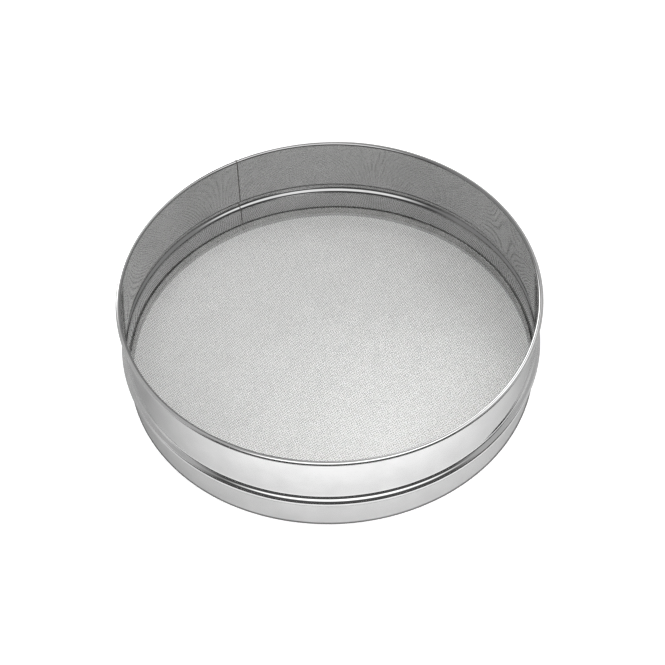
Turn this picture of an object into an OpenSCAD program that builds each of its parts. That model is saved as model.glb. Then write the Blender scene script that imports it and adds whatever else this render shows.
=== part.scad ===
// Tamis, or drum sieve: a low stainless steel hoop with woven wire cloth
// stretched across it a little above its lower edge.
// Origin: centre of the circle that the drum rests on. +Z points up through the cloth.

/* [Drum] */
// Diameter over the rolled rim
rim_d = 300; // [200:5:400]
// Height from the folded lower edge to the top of the rim
drum_h = 76; // [60:1:110]
// Thickness of the band
sheet_t = 0.6; // [0.5:0.05:0.8]
// Height of the rolled bead's middle
bead_z = 28.6; // [24:0.2:40]
// Radius of the bead, to the middle of the sheet
bead_r = 2.9; // [2:0.1:3]
// Radius at the bead's roots, to the middle of the sheet
bead_root_r = 0.8; // [0.6:0.1:1.2]
// Direction of the butt seam, seen from above
seam_angle = 116; // [0:1:359]
// Width of the butt seam
seam_w = 0.4; // [0.2:0.05:0.6]
// Thickness of the weld as a share of the band's
weld_share = 0.7; // [0.5:0.05:0.9]

/* [Rim] */
// Diameter of the stiffening wire inside the rolled rim
rim_wire_d = 2.5; // [2:0.1:3]
// Angle, below the level of the wire, where the rolled sheet ends
curl_end_angle = 122; // [90:1:125]

/* [Wire cloth] */
// Height of the middle of the cloth
cloth_z = 8.3; // [7:0.1:14]
// Distance from one warp wire to the next
warp_pitch = 1.2; // [1.2:0.01:3]
// Distance from one weft wire to the next
weft_pitch = 1.25; // [1.2:0.01:3]
// Diameter of the cloth's wires
cloth_wire_d = 0.34; // [0.25:0.01:0.5]
// Direction of the warp wires, seen from above
weave_angle = 62; // [0:1:179]
// Angle from the warp wires to the weft wires, as the stretched cloth leaves it
weave_skew = 88; // [80:0.5:100]

/* [Clamp hoop] */
// Thickness of the hoop that the cloth is stretched over
hoop_t = 0.8; // [0.6:0.05:1.2]
// Width of the open joint in the hoop
hoop_joint_w = 0.8; // [0.4:0.1:2]
// Radius of the two bends of the folded lower edge, to the middle of the sheet
hem_bend_r = 0.8; // [0.6:0.05:0.9]
// Height of the leg that the lower edge folds up inside the hoop
hem_leg = 2.8; // [2:0.1:4]

/* [Hidden] */
// Overlap, in degrees, that joins one arc of the section to the next
lap = 0.5;

// Sides of full circles: small sections, and everything that runs round the drum
section_sides = 48;
round_sides = 180;
wire_sides = 16;

// Rolled rim: the sheet wraps the wire, outside the wall
rim_gap = 0.02;
curl_r = (rim_wire_d + sheet_t) / 2 + rim_gap;
wall_r = rim_d / 2 - 2 * curl_r - sheet_t / 2;
wall_in = wall_r - sheet_t / 2;
curl_x = wall_r + curl_r;
curl_z = drum_h - curl_r - sheet_t / 2;

// Bead: a round bulge met by a smaller arc above and below
bead_rise = sqrt(pow(bead_r + bead_root_r, 2) - pow(bead_root_r, 2));
bead_turn = acos(bead_root_r / (bead_r + bead_root_r));

// Cloth, and its edge turned down between the hoop and the wall
layer_gap = 0.02;
cloth_t = 2 * cloth_wire_d + layer_gap;
cloth_under = cloth_z - cloth_t / 2;
skirt_turn = 88;
skirt_out = wall_in;
skirt_in = skirt_out - cloth_t;
hoop_r = skirt_in - hoop_t / 2;
hoop_top = cloth_under - hoop_t / 2;
cloth_r = hoop_r;
wire_offset = (cloth_wire_d + layer_gap) / 2;

// Hem: the lower edge folds inward and up round the skirt and the hoop
hem_w = cloth_t + hoop_t + sheet_t;
hem_x = wall_r - hem_w;
hem_z = hem_bend_r + sheet_t / 2;

seam_turn = seam_w / wall_r * 180 / PI;
hoop_turn = hoop_joint_w / hoop_r * 180 / PI;

// A strip bent to a radius, from one angle to another, counted anticlockwise
module arc_strip(r, t, from, to) {
    reach = 2 * (r + t);
    steps = 4;
    fan = [for (i = [0 : steps]) let (a = from + (to - from) * i / steps) reach * [cos(a), sin(a)]];
    intersection() {
        difference() {
            circle(r + t / 2, $fn = section_sides);
            circle(r - t / 2, $fn = section_sides);
        }
        polygon(concat([[0, 0]], fan));
    }
}

// A straight upright piece of the band
module upright(t, low, high) {
    translate([wall_r - t / 2, low]) square([t, high - low]);
}

// The folded lower edge: two bends with a narrow flat between them, and the leg inside
module hem_section(t) {
    flat_x = hem_x + hem_bend_r;
    flat_w = hem_w - 2 * hem_bend_r;
    translate([hem_x - t / 2, hem_z]) square([t, hem_leg]);
    translate([flat_x, hem_z]) arc_strip(hem_bend_r, t, 180, 270);
    translate([flat_x, hem_z - hem_bend_r - t / 2]) square([flat_w, t]);
    translate([flat_x + flat_w, hem_z]) arc_strip(hem_bend_r, t, 270, 360);
}

// Section of the band: hem, wall, bead, wall and rolled rim
module band_section(t) {
    hem_section(t);
    upright(t, hem_z, bead_z - bead_rise);
    for (side = [-1, 1]) {
        bead_root(t, side);
    }
    translate([wall_r, bead_z]) arc_strip(bead_r, t, -bead_turn, bead_turn);
    upright(t, bead_z + bead_rise, curl_z);
    translate([curl_x, curl_z]) arc_strip(curl_r, t, -curl_end_angle, 180);
}

// The small arc between the wall and the bead, above it or below it
module bead_root(t, side) {
    translate([wall_r + bead_root_r, bead_z + side * bead_rise])
        mirror([0, side > 0 ? 0 : 1])
            arc_strip(bead_root_r, t, 180 - lap, 180 + bead_turn + lap);
}

// A section turned round the drum's axis, open by a gap at the given direction
module hoop_round(gap_turn, direction) {
    rotate([0, 0, direction + gap_turn / 2])
        rotate_extrude(angle = 360 - gap_turn, $fn = round_sides) children();
}

module drum_band() {
    color("lightgray") hoop_round(seam_turn, seam_angle) band_section(sheet_t);
}

// The weld fills the butt seam and lies a little below the faces of the sheet
module seam_weld() {
    color("gray")
        rotate([0, 0, seam_angle - seam_turn / 2])
            rotate_extrude(angle = seam_turn, $fn = round_sides)
                band_section(sheet_t * weld_share);
}

module rim_wire() {
    color("silver")
        rotate_extrude($fn = round_sides)
            translate([curl_x, curl_z]) circle(d = rim_wire_d, $fn = section_sides);
}

module clamp_hoop() {
    color("silver")
        hoop_round(hoop_turn, seam_angle) {
            translate([hoop_r - hoop_t / 2, hem_z]) square([hoop_t, hoop_top - hem_z]);
            translate([hoop_r, hoop_top]) arc_strip(hoop_t / 4, hoop_t / 2, 0, 180);
        }
}

// The turned down edge of the cloth, from the top of the hoop to the hem
module cloth_skirt() {
    bend_r = (hoop_t + cloth_t) / 2;
    color("gainsboro")
        rotate_extrude($fn = round_sides) {
            translate([skirt_in, hem_z]) square([cloth_t, hoop_top - hem_z]);
            translate([hoop_r, hoop_top]) arc_strip(bend_r, cloth_t, 0, skirt_turn);
        }
}

// One layer of parallel wires, each as long as the circle allows at its offset
module wire_layer(direction, pitch, z) {
    side_wires = floor((cloth_r - cloth_wire_d) / pitch);
    for (i = [-side_wires : side_wires]) {
        offset = i * pitch;
        half = sqrt(pow(cloth_r, 2) - pow(abs(offset) + cloth_wire_d / 2, 2));
        rotate([0, 0, direction])
            translate([-half, offset, z])
                rotate([0, 90, 0])
                    cylinder(d = cloth_wire_d, h = 2 * half, $fn = wire_sides);
    }
}

module warp_wires() {
    color("gainsboro") wire_layer(weave_angle, warp_pitch, cloth_z - wire_offset);
}

module weft_wires() {
    color("whitesmoke") wire_layer(weave_angle + weave_skew, weft_pitch, cloth_z + wire_offset);
}

drum_band();
seam_weld();
rim_wire();
clamp_hoop();
cloth_skirt();
warp_wires();
weft_wires();
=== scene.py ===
import math

import bpy
import numpy as np
from mathutils import Matrix


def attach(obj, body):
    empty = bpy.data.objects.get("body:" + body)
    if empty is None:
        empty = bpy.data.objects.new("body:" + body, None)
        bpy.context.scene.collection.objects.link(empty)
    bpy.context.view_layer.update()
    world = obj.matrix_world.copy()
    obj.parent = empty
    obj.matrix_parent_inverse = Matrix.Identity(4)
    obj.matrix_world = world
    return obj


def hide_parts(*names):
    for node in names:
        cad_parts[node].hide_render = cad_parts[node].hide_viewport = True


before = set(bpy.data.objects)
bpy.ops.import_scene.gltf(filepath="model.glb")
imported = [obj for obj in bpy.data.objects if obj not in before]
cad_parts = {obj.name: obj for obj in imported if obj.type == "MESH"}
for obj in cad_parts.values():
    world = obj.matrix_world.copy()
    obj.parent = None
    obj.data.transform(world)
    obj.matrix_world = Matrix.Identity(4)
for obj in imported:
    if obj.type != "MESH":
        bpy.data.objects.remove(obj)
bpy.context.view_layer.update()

MM = 0.001

# Drum, in metres, as in the part's source
RIM_D = 300 * MM
DRUM_H = 76 * MM
SHEET_T = 0.6 * MM
BEAD_Z = 28.6 * MM
SEAM_ANGLE = math.radians(116)
WELD_SHARE = 0.7
RIM_WIRE_D = 2.5 * MM
CURL_END = math.radians(122)

# Seam, wider than in the part's source, and bead, larger and with softer roots
SEAM_W = 0.8 * MM
BEAD_R = 4.1 * MM
BEAD_ROOT_R = 4.0 * MM
BEAD_INSET = 0.8 * MM

# How far out of round the rim and the bead are, in which direction and from what height up
PUSH_ANGLE = math.radians(-68)
PUSH = 2.3 * MM
PUSH_FROM = 12 * MM
BULGE = 0.5 * MM
BULGE_W = 4.5 * MM

# Unevenness of the rolled sheet, as waves: size, waves round the drum, turn for each metre
# of height, and phase
RIPPLES = [
    (0.05 * MM, 5, 0, 0.7),
    (0.035 * MM, 9, 60, 2.1),
    (0.012 * MM, 23, 0, 0.4),
    (0.008 * MM, 41, -150, 1.3),
]

# Wire cloth
CLOTH_Z = 8.3 * MM
WARP_PITCH = 1.2 * MM
WEFT_PITCH = 1.25 * MM
WIRE_D = 0.34 * MM
LAYER_GAP = 0.02 * MM
WARP_ANGLE = math.radians(62)
SKEW = math.radians(88)
SKIRT_DROP = 6.1 * MM
END_GAP = 0.05 * MM

# Clamp hoop
HOOP_T = 0.8 * MM
HOOP_JOINT_W = 0.8 * MM
HEM_BEND_R = 0.8 * MM
HEM_LEG = 2.8 * MM

# Derived places, worked out as in the part's source
CURL_R = (RIM_WIRE_D + SHEET_T) / 2 + 0.02 * MM
WALL_R = RIM_D / 2 - 2 * CURL_R - SHEET_T / 2
WALL_IN = WALL_R - SHEET_T / 2
CURL_X = WALL_R + CURL_R
CURL_Z = DRUM_H - CURL_R - SHEET_T / 2
BEAD_SPAN = BEAD_R + BEAD_ROOT_R
BEAD_TURN = math.acos((BEAD_ROOT_R + BEAD_INSET) / BEAD_SPAN)
BEAD_RISE = BEAD_SPAN * math.sin(BEAD_TURN)
CLOTH_T = 2 * WIRE_D + LAYER_GAP
SKIRT_IN = WALL_IN - CLOTH_T
HOOP_R = SKIRT_IN - HOOP_T / 2
HOOP_TOP = CLOTH_Z - CLOTH_T / 2 - HOOP_T / 2
BEND_R = CLOTH_Z - HOOP_TOP
WAVE = (WIRE_D + LAYER_GAP) / 2
BEND_END = HOOP_R + BEND_R * math.pi / 2
CUT_R = BEND_END + SKIRT_DROP
HEM_W = CLOTH_T + HOOP_T + SHEET_T
HEM_X = WALL_R - HEM_W
HEM_Z = HEM_BEND_R + SHEET_T / 2

# Light, at a plain level: a grey sky, and soft panels on it. Each panel has the direction of its
# middle, its half width, its lower and upper edge, in degrees, and its strength
AMBIENT = 0.46
PANELS = [
    (270, 62, -10, 36, -0.38),
    (278, 58, 38, 82, 1.42),
    (20, 60, 48, 62, 1.15),
    (113, 19, 8, 33, 4.6),
]
SIDE_EDGE = 8
LEVEL_EDGE = 5

# Floor, and how much brighter camera and mirror rays see it, under the drum and round it
FLOOR_SIZE = 8
FLOOR_TONE = 0.95
FLOOR_GLOW = 0.5
DRUM_GLOW = 0.2

# Dark card just above the floor, that only mirror rays see: it paints shade and a dark reflection into
# the steel's mirrored floor
CARD_SHADE_TONE = 0.03
CARD_LIFT = 1 * MM
CARD_IN = 146 * MM
CARD_OUT = 2600 * MM
CARD_STEPS = 96

# How much the card covers, all painted shade in the mirrored floor: a line at the drum's foot for its
# contact shadow, a veil near it, and all but the front
FOOT_R = 147.6 * MM
FOOT_W = 1.6 * MM
FOOT_SHADOW_COVER = 0.85
VEIL_END = 192 * MM
VEIL_SHADE_COVER = 0.24
FRONT_AIM = -82
SIDE_SPAN = (20 * MM, 190 * MM)
SIDE_SHADE_COVER = 0.66

# Its dark outer part, a painted dark reflection: where that begins, and how it thins away from the front
# and far out
DARK_SPAN = (207 * MM, 217 * MM)
DARK_SPREAD = (math.cos(math.radians(75)), math.cos(math.radians(58)))
AROUND_COVER = 0.55
FAR_SPAN = (500 * MM, 900 * MM)
FAR_COVER = 0.88

# Tones and gloss of the band, its inner tone darkened as painted shade, and how sharply the outer tone
# gives way to the inner one
OUTSIDE_TONE = 0.775
INSIDE_SHADE_TONE = 0.40
BAND_UNEVEN = (0.96, 1.04)
BAND_GLOSS = (0.03, 0.06)
TONE_EDGE = 0.01

# Steels of the other pieces: lighter and darker tone of the mottle, and roughness of each; the hoop's
# tones are darkened as painted shade and the cloth's raised as painted light
WELD_LOOK = ((0.20, 0.19, 0.18), (0.10, 0.095, 0.09), (0.4, 0.6))
WIRE_LOOK = ((0.66, 0.66, 0.65), (0.56, 0.56, 0.55), (0.2, 0.3))
# Painted shade: the hoop under the cloth takes a darker steel tone
HOOP_SHADE_LOOK = ((0.32, 0.32, 0.31), (0.22, 0.22, 0.21), (0.3, 0.45))
# Painted light: the cloth's steel tone is raised to make the mesh brighter
CLOTH_LIT_LOOK = ((0.91, 0.91, 0.90), (0.84, 0.84, 0.83), (0.15, 0.25))

# Steel's mottle: its size on the band, the noise values that it spans, and the grain's fineness
MOTTLE_SCALE = 60.0
MOTTLE_DETAIL = 3.0
MOTTLE_SPAN = (0.3, 0.7)
GRAIN_SHARE = 40
GRAIN_DEPTH = 0.05 * MM

MATT = 0.9
LEVEL = (1, 1, 0)

# Camera, at the photograph's viewing angle
PHOTO_SIZE = 665
PHOTO_FOCAL = 2093.9
SENSOR_W = 36.0
CAMERA_ELEVATION = math.radians(49.669)
CAMERA_DISTANCE = 1.5051
TARGET_Z = 0.03066
CAMERA_YAW = math.radians(0.057)
CAMERA_ROLL = math.radians(2.386)
CLIP_START = 50 * MM
CLIP_END = 50

# Fineness of the meshes
ROUND_STEPS = 540
HIDDEN_STEPS = 360
ARC_STEP = math.radians(9)
SHARP_ANGLE = math.radians(40)
WIRE_SIDES = 6
BEND_RINGS = 6
TAIL_RINGS = 5
FIELD_PARTS = 3


# Mesh helpers

def new_mesh(name, points, quads, uvs=None):
    """Smooth mesh of quads, with its UV map where one is given."""
    mesh = bpy.data.meshes.new(name)
    mesh.vertices.add(len(points))
    mesh.vertices.foreach_set("co", np.asarray(points, np.float32).ravel())
    mesh.loops.add(quads.size)
    mesh.loops.foreach_set("vertex_index", quads.astype(np.int32).ravel())
    mesh.polygons.add(len(quads))
    mesh.polygons.foreach_set("loop_start", np.arange(0, quads.size, 4, dtype=np.int32))
    mesh.polygons.foreach_set("loop_total", np.full(len(quads), 4, np.int32))
    mesh.update(calc_edges=True)
    if uvs is not None:
        layer = mesh.uv_layers.new(name="OFBake")
        layer.data.foreach_set("uv", np.asarray(uvs, np.float32).ravel())
    mesh.shade_smooth()
    return mesh


def add_piece(name, mesh, material, node):
    """Piece of the drum that takes the place of a CAD node."""
    obj = bpy.data.objects.new(name, mesh)
    bpy.context.scene.collection.objects.link(obj)
    mesh.materials.append(material)
    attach(obj, "root")
    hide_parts(node)


# Sections, as lists of (radius, height, outward normal) along the middle of the sheet

def arc(cx, cz, r, start, end, outward):
    """Points of an arc. outward is 1 where the sheet's outer face is away from the arc's centre."""
    count = max(2, math.ceil(abs(end - start) / ARC_STEP))
    angles = [start + (end - start) * i / count for i in range(count + 1)]
    return [
        (cx + r * math.cos(a), cz + r * math.sin(a), outward * math.cos(a), outward * math.sin(a))
        for a in angles
    ]


def wall_points(low, high, step=2 * MM):
    """Points of the upright wall, from one height to another."""
    count = max(1, round((high - low) / step))
    return [(WALL_R, low + (high - low) * i / count, 1.0, 0.0) for i in range(count + 1)]


def band_centreline():
    """The band's section: hem, wall, bead, wall and the rim rolled round its wire."""
    half_turn = math.pi
    line = [(HEM_X, HEM_Z + HEM_LEG, -1.0, 0.0)]
    line += arc(HEM_X + HEM_BEND_R, HEM_Z, HEM_BEND_R, half_turn, 1.5 * half_turn, 1)
    line += arc(WALL_R - HEM_BEND_R, HEM_Z, HEM_BEND_R, 1.5 * half_turn, 2 * half_turn, 1)
    line += wall_points(HEM_Z, BEAD_Z - BEAD_RISE)[1:]
    root_x = WALL_R + BEAD_ROOT_R
    line += arc(root_x, BEAD_Z - BEAD_RISE, BEAD_ROOT_R, half_turn, half_turn - BEAD_TURN, -1)[1:]
    line += arc(WALL_R - BEAD_INSET, BEAD_Z, BEAD_R, -BEAD_TURN, BEAD_TURN, 1)[1:]
    line += arc(root_x, BEAD_Z + BEAD_RISE, BEAD_ROOT_R, half_turn + BEAD_TURN, half_turn, -1)[1:]
    line += wall_points(BEAD_Z + BEAD_RISE, CURL_Z)[1:]
    line += arc(CURL_X, CURL_Z, CURL_R, half_turn, -CURL_END, -1)[1:]
    return line


def sheet_section(line, thickness):
    """Closed outline of a sheet of that thickness round its middle line."""
    line = np.array(line)
    front = line[:, :2] + line[:, 2:] * thickness / 2
    back = line[:, :2] - line[:, 2:] * thickness / 2
    return np.concatenate([front, back[::-1]])


def revolve(section, start, end, steps=ROUND_STEPS, dent=None):
    """Turns a closed section round the axis from one angle to another, with open ends."""
    turn = np.linspace(start, end, steps + 1)
    n = len(section)
    r = np.repeat(section[None, :, 0], steps + 1, axis=0)
    z = np.repeat(section[None, :, 1], steps + 1, axis=0)
    a = np.repeat(turn[:, None], n, axis=1)
    if dent is not None:
        r = r + dent(a, z)
    points = np.stack([r * np.cos(a), r * np.sin(a), z], -1).reshape(-1, 3)
    i, j = np.meshgrid(np.arange(steps), np.arange(n), indexing="ij")
    k = (j + 1) % n
    quads = np.stack([i * n + j, i * n + k, (i + 1) * n + k, (i + 1) * n + j], -1).reshape(-1, 4)
    u = np.stack([i, i, i + 1, i + 1], -1) / steps
    v = np.stack([j, j + 1, j + 1, j], -1) / n
    uvs = np.stack([u, v], -1).reshape(-1, 2)
    return points, quads, uvs


def open_at(direction, gap, radius):
    """Start and end angles of a full turn with a gap, in metres along the radius, at that direction."""
    half_gap = gap / 2 / radius
    return direction + half_gap, direction + 2 * math.pi - half_gap


def band_dent(a, z):
    """How far the sheet is from round: slight ripples, and the rim and bead pushed out at one side."""
    ripple = sum(size * np.sin(waves * a + twist * z + phase) for size, waves, twist, phase in RIPPLES)
    lean = np.clip((z - PUSH_FROM) / (CURL_Z - PUSH_FROM), 0, 1)
    bulge = np.exp(-((z - BEAD_Z) / BULGE_W) ** 2)
    side = np.maximum(np.cos(a - PUSH_ANGLE), 0) ** 2
    return ripple + (PUSH * lean + BULGE * bulge) * side


# Materials

def new_material(name):
    """New material, with its nodes, its links and its shader."""
    material = bpy.data.materials.new(name)
    material.use_nodes = True
    nodes = material.node_tree.nodes
    return material, nodes, material.node_tree.links, nodes["Principled BSDF"]


def noise(nodes, links, vector, scale, detail=2.0):
    node = nodes.new("ShaderNodeTexNoise")
    node.inputs["Scale"].default_value = scale
    node.inputs["Detail"].default_value = detail
    links.new(vector, node.inputs["Vector"])
    return node.outputs["Fac"]


def ramp(nodes, links, value, stops):
    """Colour ramp of two stops."""
    node = nodes.new("ShaderNodeValToRGB")
    for element, (place, colour) in zip(node.color_ramp.elements, stops):
        element.position = place
        element.color = (*colour, 1.0)
    links.new(value, node.inputs["Fac"])
    return node.outputs["Color"]


def map_range(nodes, links, value, low, high, to_low, to_high):
    node = nodes.new("ShaderNodeMapRange")
    node.inputs["From Min"].default_value = low
    node.inputs["From Max"].default_value = high
    node.inputs["To Min"].default_value = to_low
    node.inputs["To Max"].default_value = to_high
    links.new(value, node.inputs["Value"])
    return node.outputs["Result"]


def math_node(nodes, links, operation, *values):
    node = nodes.new("ShaderNodeMath")
    node.operation = operation
    for socket, value in zip(node.inputs, values):
        if isinstance(value, (int, float)):
            socket.default_value = value
        else:
            links.new(value, socket)
    return node.outputs["Value"]


def vector_node(nodes, links, operation, *values, output="Vector"):
    node = nodes.new("ShaderNodeVectorMath")
    node.operation = operation
    for socket, value in zip(node.inputs, values):
        if isinstance(value, tuple):
            socket.default_value = value
        else:
            links.new(value, socket)
    return node.outputs[output]


def matt(shader, tone):
    """Plain matt surface of one grey."""
    shader.inputs["Base Color"].default_value = (tone, tone, tone, 1)
    shader.inputs["Roughness"].default_value = MATT
    shader.inputs["Specular IOR Level"].default_value = 0.0


def steel(name, light, dark, gloss, bump=0.02, scale=MOTTLE_SCALE):
    """Stainless steel: mottled tone, uneven gloss and a faint grain."""
    material, nodes, links, shader = new_material(name)
    coords = nodes.new("ShaderNodeTexCoord").outputs["Object"]
    mottle = noise(nodes, links, coords, scale, MOTTLE_DETAIL)
    grain = noise(nodes, links, coords, scale * GRAIN_SHARE)
    shader.inputs["Metallic"].default_value = 1.0
    tone = ramp(nodes, links, mottle, zip(MOTTLE_SPAN, (dark, light)))
    links.new(tone, shader.inputs["Base Color"])
    links.new(map_range(nodes, links, mottle, *MOTTLE_SPAN, *gloss), shader.inputs["Roughness"])
    node = nodes.new("ShaderNodeBump")
    node.inputs["Strength"].default_value = bump
    node.inputs["Distance"].default_value = GRAIN_DEPTH
    links.new(grain, node.inputs["Height"])
    links.new(node.outputs["Normal"], shader.inputs["Normal"])
    return material


def band_steel():
    """Polished outside, and darker inside, where the darker tone is painted shade."""
    material, nodes, links, shader = new_material("band_steel")
    coords = nodes.new("ShaderNodeTexCoord")
    place = coords.outputs["Object"]
    outward = vector_node(nodes, links, "MULTIPLY", place, LEVEL)
    normal = coords.outputs["Normal"]
    facing = vector_node(nodes, links, "DOT_PRODUCT", outward, normal, output="Value")
    # Faces turned inward take the darker tone: painted shade inside the drum
    tone = map_range(nodes, links, facing, -TONE_EDGE, TONE_EDGE, INSIDE_SHADE_TONE, OUTSIDE_TONE)
    mottle = noise(nodes, links, place, MOTTLE_SCALE, MOTTLE_DETAIL)
    uneven = map_range(nodes, links, mottle, *MOTTLE_SPAN, *BAND_UNEVEN)
    links.new(math_node(nodes, links, "MULTIPLY", tone, uneven), shader.inputs["Base Color"])
    links.new(map_range(nodes, links, mottle, *MOTTLE_SPAN, *BAND_GLOSS), shader.inputs["Roughness"])
    shader.inputs["Metallic"].default_value = 1.0
    return material


# Drum

def make_band(material):
    section = sheet_section(band_centreline(), SHEET_T)
    turn = open_at(SEAM_ANGLE, SEAM_W, WALL_R)
    mesh = new_mesh("band", *revolve(section, *turn, dent=band_dent))
    mesh.set_sharp_from_angle(angle=SHARP_ANGLE)
    add_piece("band", mesh, material, "drum_band")


def make_weld(material):
    section = sheet_section(band_centreline(), SHEET_T * WELD_SHARE)
    half_gap = SEAM_W / 2 / WALL_R
    turn = (SEAM_ANGLE - half_gap, SEAM_ANGLE + half_gap)
    mesh = new_mesh("weld", *revolve(section, *turn, steps=2, dent=band_dent))
    add_piece("weld", mesh, material, "seam_weld")


def make_rim_wire(material):
    section = np.array([p[:2] for p in arc(CURL_X, CURL_Z, RIM_WIRE_D / 2, 0, 2 * math.pi, 1)[:-1]])
    mesh = new_mesh("rim_core", *revolve(section, 0, 2 * math.pi, steps=HIDDEN_STEPS, dent=band_dent))
    add_piece("rim_core", mesh, material, "rim_wire")


def make_hoop(material):
    outer = [(HOOP_R + HOOP_T / 2, HEM_Z), (HOOP_R + HOOP_T / 2, HOOP_TOP)]
    top = [p[:2] for p in arc(HOOP_R, HOOP_TOP, HOOP_T / 2, 0, math.pi, 1)[1:-1]]
    inner = [(HOOP_R - HOOP_T / 2, HOOP_TOP), (HOOP_R - HOOP_T / 2, HEM_Z)]
    turn = open_at(SEAM_ANGLE, HOOP_JOINT_W, HOOP_R)
    mesh = new_mesh("hoop", *revolve(np.array(outer + top + inner), *turn, steps=HIDDEN_STEPS))
    mesh.set_sharp_from_angle(angle=SHARP_ANGLE)
    add_piece("hoop", mesh, material, "clamp_hoop")


# Wire cloth

def place_on_cloth(xy, lift):
    """Moves points of the flat cloth to where they end up once its edge is bent down over the hoop."""
    flat_r = np.hypot(xy[:, 0], xy[:, 1])
    excess = np.maximum(flat_r - HOOP_R, 0)
    turn = np.minimum(excess / BEND_R, math.pi / 2)
    drop = np.maximum(excess - BEND_R * math.pi / 2, 0)
    r = np.where(excess > 0, HOOP_R + (BEND_R + lift) * np.sin(turn), flat_r)
    z = HOOP_TOP + (BEND_R + lift) * np.cos(turn) - drop
    scale = r / np.maximum(flat_r, 1e-9)
    return np.stack([xy[:, 0] * scale, xy[:, 1] * scale, z], 1)


def outward_up(xy):
    """Direction square to the cloth's face at points of the flat cloth."""
    flat_r = np.maximum(np.hypot(xy[:, 0], xy[:, 1]), 1e-9)
    turn = np.clip((flat_r - HOOP_R) / BEND_R, 0, math.pi / 2)
    out = xy / flat_r[:, None]
    return np.stack([out[:, 0] * np.sin(turn), out[:, 1] * np.sin(turn), np.cos(turn)], 1)


class Layer:
    """The wires of one direction: where they lie, and where each one crosses those of the other."""

    def __init__(self, name, direction, pitch, other_pitch, turn):
        self.name = name
        self.along = np.array([math.cos(direction), math.sin(direction)])
        self.across = np.array([-self.along[1], self.along[0]])
        self.pitch = pitch
        self.step = other_pitch / math.sin(SKEW)
        self.slip = pitch * math.cos(SKEW) / other_pitch
        self.turn = turn

    def rows(self, reach):
        side = int(reach / self.pitch)
        return np.arange(-side, side + 1)

    def crossings(self, row, half):
        """Distances along a wire at which it crosses the others, as far as half from its middle."""
        middle = -row * self.slip * self.turn * self.step
        count = int(half / self.step) + 2
        places = middle + np.arange(-count, count + 1) * self.step
        first = round(middle / self.step)
        places = places - first * self.step
        return places[abs(places) < half - END_GAP]

    def field(self, row):
        """Distances along a flat wire: every crossing, and the two ends on the hoop."""
        half = math.sqrt(HOOP_R ** 2 - (row * self.pitch) ** 2)
        return np.concatenate([[-half], self.crossings(row, half), [half]])

    def tails(self, row):
        """Distances along the bent ends of a wire: both tails, or one run where it misses the hoop."""
        offset = row * self.pitch
        bend = np.linspace(HOOP_R, BEND_END, BEND_RINGS)
        radii = np.concatenate([bend, np.linspace(BEND_END, CUT_R, TAIL_RINGS)[1:]])
        if abs(offset) < HOOP_R:
            tail = np.sqrt(radii ** 2 - offset ** 2)
            return [-tail[::-1], tail]
        half = math.sqrt(CUT_R ** 2 - offset ** 2)
        return [np.linspace(-half, half, 2 * max(4, round(half / self.step)) + 1)]

    def wire(self, row, stations):
        """Rings of one wire round its wavy path, as points with one row for each ring."""
        xy = row * self.pitch * self.across + stations[:, None] * self.along
        crossing = self.turn * stations / self.step + row * self.slip
        path = place_on_cloth(xy, self.turn * WAVE * np.cos(math.pi * (crossing + row)))
        ahead = np.gradient(path, axis=0)
        ahead /= np.linalg.norm(ahead, axis=1)[:, None]
        side = np.cross(ahead, outward_up(xy))
        side /= np.linalg.norm(side, axis=1)[:, None]
        up = np.cross(side, ahead)
        turn = np.arange(WIRE_SIDES) * 2 * math.pi / WIRE_SIDES
        ring = side[:, None] * np.cos(turn)[:, None] + up[:, None] * np.sin(turn)[:, None]
        return path[:, None] + ring * WIRE_D / 2


WARP = Layer("warp", WARP_ANGLE, WARP_PITCH, WEFT_PITCH, -1)
WEFT = Layer("weft", WARP_ANGLE + SKEW, WEFT_PITCH, WARP_PITCH, 1)


def join_wires(wires):
    """One set of points and faces for many wires, with one row of the UV map for each wire."""
    points, quads, uvs = [], [], []
    first = 0
    for row, rings in enumerate(wires):
        n = WIRE_SIDES
        i, j = np.meshgrid(np.arange(len(rings) - 1), np.arange(n), indexing="ij")
        k = (j + 1) % n
        faces = np.stack([i * n + j, i * n + k, (i + 1) * n + k, (i + 1) * n + j], -1)
        u = np.stack([i, i, i + 1, i + 1], -1) / len(rings)
        v = (row + np.stack([j, j + 1, j + 1, j], -1) / n) / len(wires)
        points.append(rings.reshape(-1, 3))
        quads.append(faces.reshape(-1, 4) + first)
        uvs.append(np.stack([u, v], -1).reshape(-1, 2))
        first += rings.shape[0] * n
    return np.concatenate(points), np.concatenate(quads), np.concatenate(uvs)


def make_field(layer, material, node):
    """The flat cloth's wires of one layer, in a few pieces."""
    for part, rows in enumerate(np.array_split(layer.rows(HOOP_R - WIRE_D), FIELD_PARTS)):
        wires = [layer.wire(row, layer.field(row)) for row in rows]
        mesh = new_mesh(layer.name, *join_wires(wires))
        add_piece(f"{layer.name}_{part + 1}", mesh, material, node)


def make_skirt(material):
    """The ends of all wires, bent down over the hoop."""
    wires = [
        layer.wire(row, tail)
        for layer in (WARP, WEFT)
        for row in layer.rows(CUT_R)
        for tail in layer.tails(row)
    ]
    mesh = new_mesh("skirt", *join_wires(wires))
    add_piece("skirt", mesh, material, "cloth_skirt")


# Stage

def unit(azimuth):
    """Level direction at that azimuth, in degrees."""
    return math.cos(math.radians(azimuth)), math.sin(math.radians(azimuth)), 0


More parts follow.
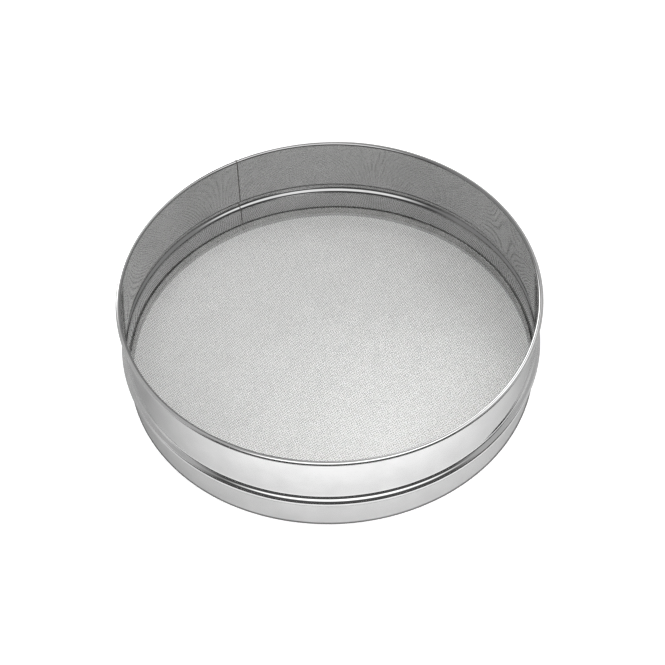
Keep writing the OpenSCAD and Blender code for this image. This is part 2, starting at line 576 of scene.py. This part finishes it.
def make_floor():
    """White floor that camera and mirror rays see a little brighter than its light makes it."""
    bpy.ops.mesh.primitive_plane_add(size=FLOOR_SIZE)
    floor = bpy.context.object
    floor.name = "floor"
    material, nodes, links, shader = new_material("floor")
    matt(shader, FLOOR_TONE)
    shader.inputs["Emission Color"].default_value = (1, 1, 1, 1)
    ray = nodes.new("ShaderNodeLightPath")
    seen = math_node(nodes, links, "MAXIMUM", ray.outputs["Is Camera Ray"], ray.outputs["Is Glossy Ray"])
    seen = math_node(nodes, links, "MAXIMUM", seen, ray.outputs["Is Transmission Ray"])
    place = nodes.new("ShaderNodeTexCoord").outputs["Object"]
    radius = vector_node(nodes, links, "LENGTH", place, output="Value")
    glow = map_range(nodes, links, radius, HEM_X, WALL_R, DRUM_GLOW, FLOOR_GLOW)
    links.new(math_node(nodes, links, "MULTIPLY", seen, glow), shader.inputs["Emission Strength"])
    floor.data.materials.append(material)


def card_mesh():
    """Flat ring just above the floor."""
    turn = np.linspace(0, 2 * math.pi, CARD_STEPS + 1)
    radii = np.array([CARD_IN, CARD_OUT])
    level = np.full((CARD_STEPS + 1, 2), CARD_LIFT)
    points = np.stack([np.outer(np.cos(turn), radii), np.outer(np.sin(turn), radii), level], -1)
    i = 2 * np.arange(CARD_STEPS)
    return new_mesh("card", points.reshape(-1, 3), np.stack([i, i + 1, i + 3, i + 2], -1))


def card_cover(nodes, links):
    """How much of the floor the card hides from mirror rays at each place, as painted shade and a
    painted dark reflection.
    """
    place = nodes.new("ShaderNodeTexCoord").outputs["Object"]
    radius = vector_node(nodes, links, "LENGTH", place, output="Value")
    front = vector_node(nodes, links, "DOT_PRODUCT", place, unit(FRONT_AIM), output="Value")
    # Painted shade on the floor at the drum's sides, for mirror rays
    side = map_range(nodes, links, front, *SIDE_SPAN, SIDE_SHADE_COVER, 0)
    # Painted shade as a veil on the floor near the drum
    veil_shade = map_range(nodes, links, radius, FOOT_R, VEIL_END, VEIL_SHADE_COVER, 0)
    clear = math_node(nodes, links, "SUBTRACT", 1, side)
    cover = math_node(nodes, links, "MULTIPLY_ADD", veil_shade, clear, side)
    # Painted contact shadow along the drum's foot
    foot_shadow = map_range(nodes, links, radius, FOOT_R, FOOT_R + FOOT_W, FOOT_SHADOW_COVER, 0)
    ahead = math_node(nodes, links, "DIVIDE", front, radius)
    # Painted dark reflection of the floor far out
    dark = map_range(nodes, links, radius, *DARK_SPAN, 0, 1)
    around = map_range(nodes, links, ahead, *DARK_SPREAD, AROUND_COVER, 1)
    far = map_range(nodes, links, radius, *FAR_SPAN, 1, FAR_COVER)
    for share in (around, far):
        dark = math_node(nodes, links, "MULTIPLY", dark, share)
    for part in (foot_shadow, dark):
        cover = math_node(nodes, links, "MAXIMUM", cover, part)
    return cover


def make_card():
    """Card round the drum that paints its mirrored tones: clear in front, painted shade at the sides and
    the foot, a painted dark reflection far out.
    """
    mesh = card_mesh()
    card = bpy.data.objects.new("card", mesh)
    bpy.context.scene.collection.objects.link(card)
    material, nodes, links, shader = new_material("card")
    matt(shader, CARD_SHADE_TONE)
    links.new(card_cover(nodes, links), shader.inputs["Alpha"])
    mesh.materials.append(material)
    card.visible_camera = False
    card.visible_diffuse = False
    card.visible_shadow = False


def make_world():
    """Grey sky with soft panels, which fade at their edges."""
    world = bpy.data.worlds.new("studio")
    bpy.context.scene.world = world
    world.use_nodes = True
    nodes, links = world.node_tree.nodes, world.node_tree.links
    sky = nodes.new("ShaderNodeTexCoord").outputs["Generated"]
    axes = nodes.new("ShaderNodeSeparateXYZ")
    links.new(sky, axes.inputs["Vector"])
    height = axes.outputs["Z"]
    level = vector_node(nodes, links, "MULTIPLY", sky, LEVEL)
    compass = vector_node(nodes, links, "NORMALIZE", level)
    light = AMBIENT
    for azimuth, half, low, high, strength in PANELS:
        aim = vector_node(nodes, links, "DOT_PRODUCT", compass, unit(azimuth), output="Value")
        wide = [math.cos(math.radians(half + side * SIDE_EDGE)) for side in (1, -1)]
        bottom = [math.sin(math.radians(low + side * LEVEL_EDGE)) for side in (-1, 1)]
        top = [math.sin(math.radians(high + side * LEVEL_EDGE)) for side in (1, -1)]
        panel = map_range(nodes, links, aim, *wide, 0, strength)
        for edge in (bottom, top):
            share = map_range(nodes, links, height, *edge, 0, 1)
            panel = math_node(nodes, links, "MULTIPLY", panel, share)
        light = math_node(nodes, links, "ADD", panel, light)
    links.new(light, nodes["Background"].inputs["Strength"])
    nodes["Background"].inputs["Color"].default_value = (1, 1, 1, 1)


def make_camera():
    """Camera that looks at the drum's middle from the front, turned and rolled a little."""
    e = CAMERA_ELEVATION
    place = np.array([0, -CAMERA_DISTANCE * math.cos(e), TARGET_Z + CAMERA_DISTANCE * math.sin(e)])
    ahead = np.array([0, math.cos(e), -math.sin(e)])
    up = np.array([0, math.sin(e), math.cos(e)])
    right = np.array([1.0, 0, 0])
    cy, sy = math.cos(CAMERA_YAW), math.sin(CAMERA_YAW)
    ahead, right = ahead * cy + right * sy, right * cy - ahead * sy
    cr, sr = math.cos(CAMERA_ROLL), math.sin(CAMERA_ROLL)
    right, up = right * cr - up * sr, right * sr + up * cr
    data = bpy.data.cameras.new("camera")
    camera = bpy.data.objects.new("camera", data)
    bpy.context.scene.collection.objects.link(camera)
    rows = np.stack([right, up, -ahead], 1)
    matrix = Matrix.Identity(4)
    for i in range(3):
        for j in range(3):
            matrix[i][j] = rows[i, j]
        matrix[i][3] = place[i]
    camera.matrix_world = matrix
    data.sensor_width = SENSOR_W
    data.lens = PHOTO_FOCAL / PHOTO_SIZE * data.sensor_width
    data.clip_start = CLIP_START
    data.clip_end = CLIP_END
    bpy.context.scene.camera = camera


def main():
    make_camera()
    weld_steel = steel("weld_steel", *WELD_LOOK, bump=0.2, scale=300.0)
    wire_steel = steel("wire_steel", *WIRE_LOOK)
    hoop_steel = steel("hoop_steel", *HOOP_SHADE_LOOK)
    cloth_steel = steel("cloth_steel", *CLOTH_LIT_LOOK)
    make_band(band_steel())
    make_weld(weld_steel)
    make_rim_wire(wire_steel)
    make_hoop(hoop_steel)
    make_field(WARP, cloth_steel, "warp_wires")
    make_field(WEFT, cloth_steel, "weft_wires")
    make_skirt(cloth_steel)
    make_floor()
    make_card()
    make_world()
    bpy.context.scene.view_settings.view_transform = "Standard"
    bpy.context.scene.cycles.denoising_prefilter = "NONE"


main()
